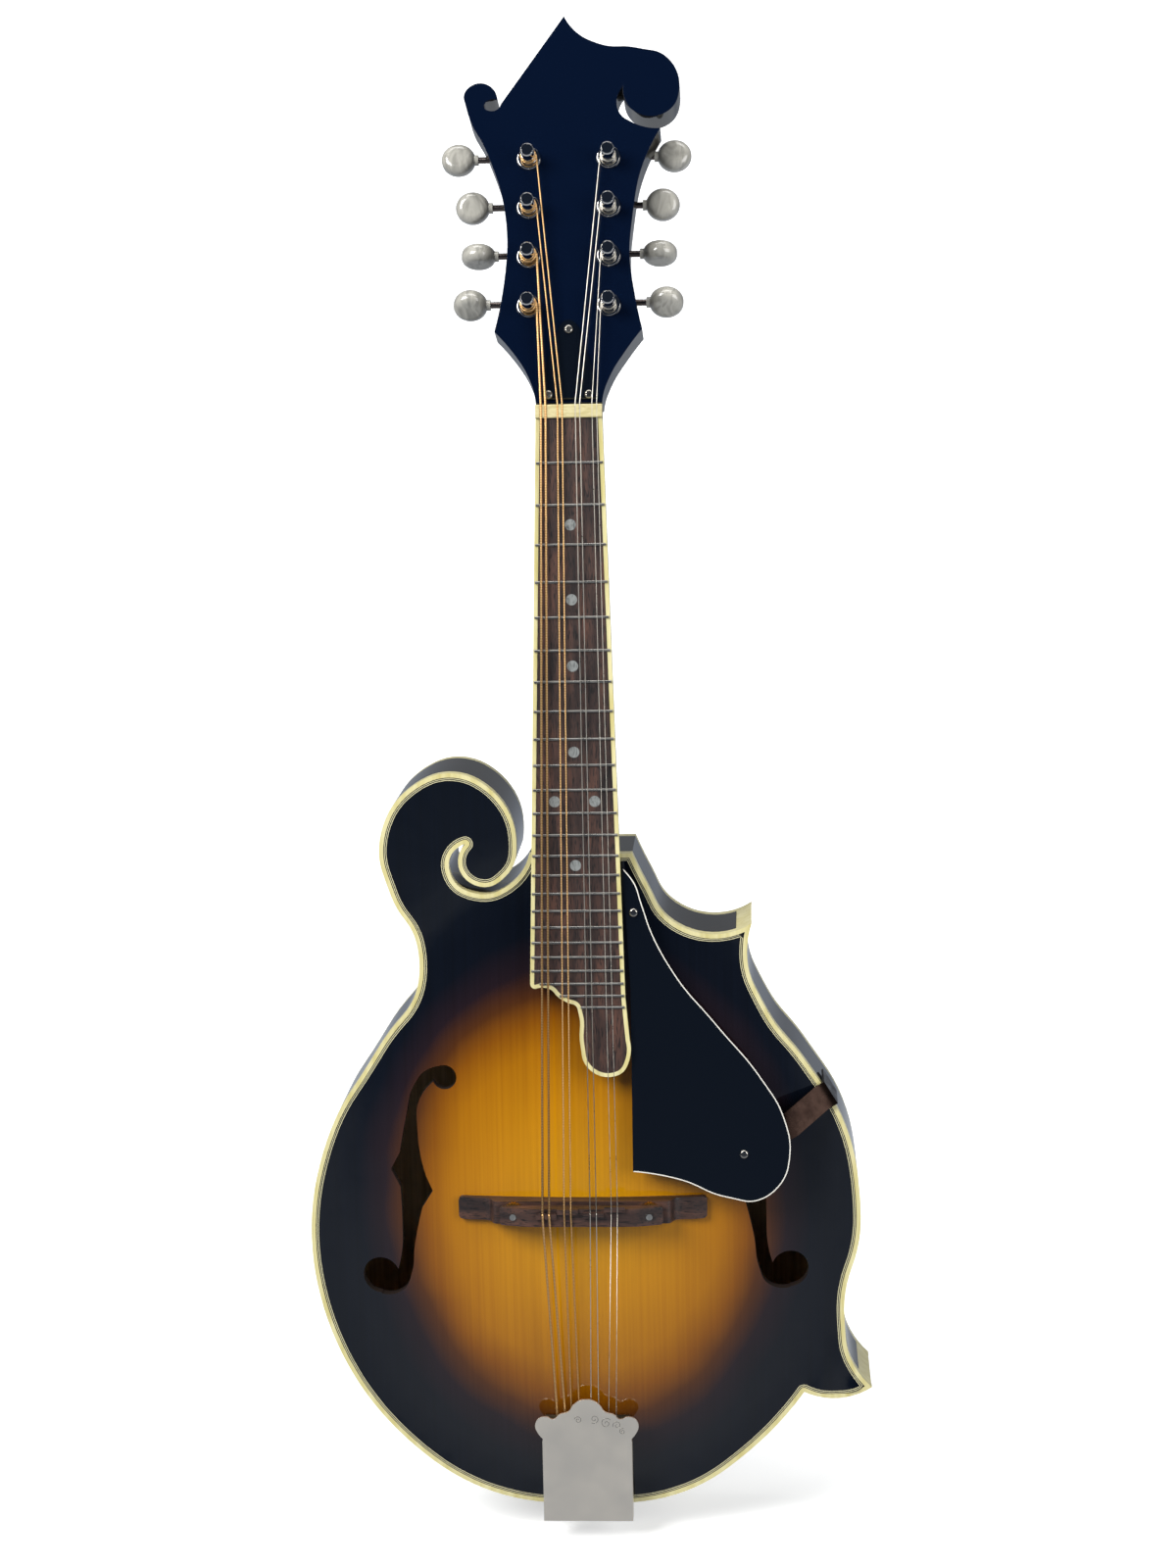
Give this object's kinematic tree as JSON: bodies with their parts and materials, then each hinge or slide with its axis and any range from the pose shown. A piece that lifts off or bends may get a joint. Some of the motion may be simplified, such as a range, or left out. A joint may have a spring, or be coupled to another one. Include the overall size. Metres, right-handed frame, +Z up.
{
  "type": "mandolin",
  "caption": "F-style carved mandolin with scroll, sunburst top, f-holes, adjustable bridge, slide-off tailpiece cover and geared tuners.",
  "frame": {"origin": "centre of the end pin's outer face, at the tail end, half way through the rib depth", "axes": "+Z up the neck to the headstock, -Y out of the soundboard (front), +X to the right seen from the front (treble side)"},
  "size_m": [0.2593, 0.1108, 0.6988],
  "materials": {
    "spruce_top": "gloss sunburst lacquer",
    "maple_body": "gloss dark lacquer",
    "inner_wood": "bare sanded",
    "ivory_celluloid": "polished",
    "purfling": "gloss black and white lines",
    "black_lacquer": "gloss black lacquer",
    "rosewood": "oiled satin",
    "bone": "polished",
    "fret_wire": "polished",
    "pearl": "polished",
    "steel": "satin",
    "brass": "satin",
    "black_plastic": "gloss",
    "nickel": "polished",
    "string_steel": "wound and plain",
    "pearloid": "polished"
  },
  "bodies": {
    "root": {"back_plate": "maple_body", "body_binding": "ivory_celluloid", "bridge_base": "rosewood", "bridge_studs": "steel", "corner_blocks": "inner_wood", "end_pin": "steel", "fretboard": "rosewood", "fretboard_binding": "ivory_celluloid", "frets": "fret_wire", "head_block": "inner_wood", "headstock_overlay": "black_lacquer", "inlay_dots": "pearl", "linings": "inner_wood", "neck": "maple_body", "nut": "bone", "pickguard": "black_plastic", "pickguard_bracket": "nickel", "point_caps": "ivory_celluloid", "ribs": "maple_body", "small_screws": "steel", "soundboard": "spruce_top", "strings": "string_steel", "tail_block": "inner_wood", "tailpiece_base": "nickel", "tone_bars": "inner_wood", "top_purfling": "purfling", "truss_rod": "steel", "truss_rod_cover": "black_plastic", "tuner_bushings": "nickel", "tuner_plates": "nickel"},
    "saddle": {"bridge_saddle": "rosewood"},
    "wheel_bass": {"thumbwheel_bass": "brass"},
    "wheel_treble": {"thumbwheel_treble": "brass"},
    "cover": {"tailpiece_cover": "nickel"},
    "rod_nut": {"truss_rod_nut": "brass"},
    "post_bass_1": {"string_post_bass_1": "nickel"},
    "key_bass_1": {"worm_shaft_bass_1": "nickel", "tuner_button_bass_1": "pearloid"},
    "post_bass_2": {"string_post_bass_2": "nickel"},
    "key_bass_2": {"worm_shaft_bass_2": "nickel", "tuner_button_bass_2": "pearloid"},
    "post_bass_3": {"string_post_bass_3": "nickel"},
    "key_bass_3": {"worm_shaft_bass_3": "nickel", "tuner_button_bass_3": "pearloid"},
    "post_bass_4": {"string_post_bass_4": "nickel"},
    "key_bass_4": {"worm_shaft_bass_4": "nickel", "tuner_button_bass_4": "pearloid"},
    "post_treble_1": {"string_post_treble_1": "nickel"},
    "key_treble_1": {"worm_shaft_treble_1": "nickel", "tuner_button_treble_1": "pearloid"},
    "post_treble_2": {"string_post_treble_2": "nickel"},
    "key_treble_2": {"worm_shaft_treble_2": "nickel", "tuner_button_treble_2": "pearloid"},
    "post_treble_3": {"string_post_treble_3": "nickel"},
    "key_treble_3": {"worm_shaft_treble_3": "nickel", "tuner_button_treble_3": "pearloid"},
    "post_treble_4": {"string_post_treble_4": "nickel"},
    "key_treble_4": {"worm_shaft_treble_4": "nickel", "tuner_button_treble_4": "pearloid"}
  },
  "joints": [
    {"name": "thumbwheel_bass_turn", "type": "hinge", "parent": "saddle", "child": "wheel_bass", "pos_m": [-0.031, -0.0425, 0.163], "axis": [0, -1, 0], "range_deg": [0, 1350]},
    {"name": "thumbwheel_treble_turn", "type": "hinge", "parent": "saddle", "child": "wheel_treble", "pos_m": [0.031, -0.0425, 0.163], "axis": [0, -1, 0], "range_deg": [0, 1350]},
    {"name": "saddle_lift", "type": "slide", "parent": "root", "child": "saddle", "axis": [0, -1, 0], "range_m": [0, 0.0031], "deforming": ["strings"]},
    {"name": "tailpiece_cover_slide", "type": "slide", "parent": "root", "child": "cover", "axis": [0, -0.1736, 0.9848], "range_m": [0, 0.03]},
    {"name": "truss_rod_nut_turn", "type": "hinge", "parent": "root", "child": "rod_nut", "pos_m": [0, -0.00374, 0.53762], "axis": [0, 0.0872, 0.9962], "range_deg": [-180, 180]},
    {"name": "key_turn_bass_1", "type": "hinge", "parent": "root", "child": "key_bass_1", "pos_m": [-0.0179, 0.02301, 0.57073], "axis": [1, 0, 0], "continuous": true},
    {"name": "post_turn_bass_1", "type": "hinge", "parent": "root", "child": "post_bass_1", "pos_m": [-0.0179, 0.00125, 0.57041], "axis": [0, -0.9511, 0.309], "continuous": true},
    {"name": "key_turn_bass_2", "type": "hinge", "parent": "root", "child": "key_bass_2", "pos_m": [-0.0179, 0.03005, 0.59241], "axis": [1, 0, 0], "continuous": true},
    {"name": "post_turn_bass_2", "type": "hinge", "parent": "root", "child": "post_bass_2", "pos_m": [-0.0179, 0.00829, 0.5921], "axis": [0, -0.9511, 0.309], "continuous": true},
    {"name": "key_turn_bass_3", "type": "hinge", "parent": "root", "child": "key_bass_3", "pos_m": [-0.0179, 0.0371, 0.61409], "axis": [1, 0, 0], "continuous": true},
    {"name": "post_turn_bass_3", "type": "hinge", "parent": "root", "child": "post_bass_3", "pos_m": [-0.0179, 0.01534, 0.61378], "axis": [0, -0.9511, 0.309], "continuous": true},
    {"name": "key_turn_bass_4", "type": "hinge", "parent": "root", "child": "key_bass_4", "pos_m": [-0.0179, 0.04414, 0.63578], "axis": [1, 0, 0], "continuous": true},
    {"name": "post_turn_bass_4", "type": "hinge", "parent": "root", "child": "post_bass_4", "pos_m": [-0.0179, 0.02238, 0.63547], "axis": [0, -0.9511, 0.309], "continuous": true},
    {"name": "key_turn_treble_1", "type": "hinge", "parent": "root", "child": "key_treble_1", "pos_m": [0.0179, 0.02301, 0.57073], "axis": [1, 0, 0], "continuous": true},
    {"name": "post_turn_treble_1", "type": "hinge", "parent": "root", "child": "post_treble_1", "pos_m": [0.0179, 0.00125, 0.57041], "axis": [0, -0.9511, 0.309], "continuous": true},
    {"name": "key_turn_treble_2", "type": "hinge", "parent": "root", "child": "key_treble_2", "pos_m": [0.0179, 0.03005, 0.59241], "axis": [1, 0, 0], "continuous": true},
    {"name": "post_turn_treble_2", "type": "hinge", "parent": "root", "child": "post_treble_2", "pos_m": [0.0179, 0.00829, 0.5921], "axis": [0, -0.9511, 0.309], "continuous": true},
    {"name": "key_turn_treble_3", "type": "hinge", "parent": "root", "child": "key_treble_3", "pos_m": [0.0179, 0.0371, 0.61409], "axis": [1, 0, 0], "continuous": true},
    {"name": "post_turn_treble_3", "type": "hinge", "parent": "root", "child": "post_treble_3", "pos_m": [0.0179, 0.01534, 0.61378], "axis": [0, -0.9511, 0.309], "continuous": true},
    {"name": "key_turn_treble_4", "type": "hinge", "parent": "root", "child": "key_treble_4", "pos_m": [0.0179, 0.04414, 0.63578], "axis": [1, 0, 0], "continuous": true},
    {"name": "post_turn_treble_4", "type": "hinge", "parent": "root", "child": "post_treble_4", "pos_m": [0.0179, 0.02238, 0.63547], "axis": [0, -0.9511, 0.309], "continuous": true}
  ],
  "couplings": [
    {"joint": "saddle_lift", "follows": "thumbwheel_bass_turn", "m_per_rad": 0.00012732},
    {"joint": "thumbwheel_treble_turn", "follows": "thumbwheel_bass_turn", "ratio": 1},
    {"joint": "post_turn_bass_1", "follows": "key_turn_bass_1", "ratio": 0.071429},
    {"joint": "post_turn_bass_2", "follows": "key_turn_bass_2", "ratio": 0.071429},
    {"joint": "post_turn_bass_3", "follows": "key_turn_bass_3", "ratio": 0.071429},
    {"joint": "post_turn_bass_4", "follows": "key_turn_bass_4", "ratio": 0.071429},
    {"joint": "post_turn_treble_1", "follows": "key_turn_treble_1", "ratio": 0.071429},
    {"joint": "post_turn_treble_2", "follows": "key_turn_treble_2", "ratio": 0.071429},
    {"joint": "post_turn_treble_3", "follows": "key_turn_treble_3", "ratio": 0.071429},
    {"joint": "post_turn_treble_4", "follows": "key_turn_treble_4", "ratio": 0.071429}
  ]
}
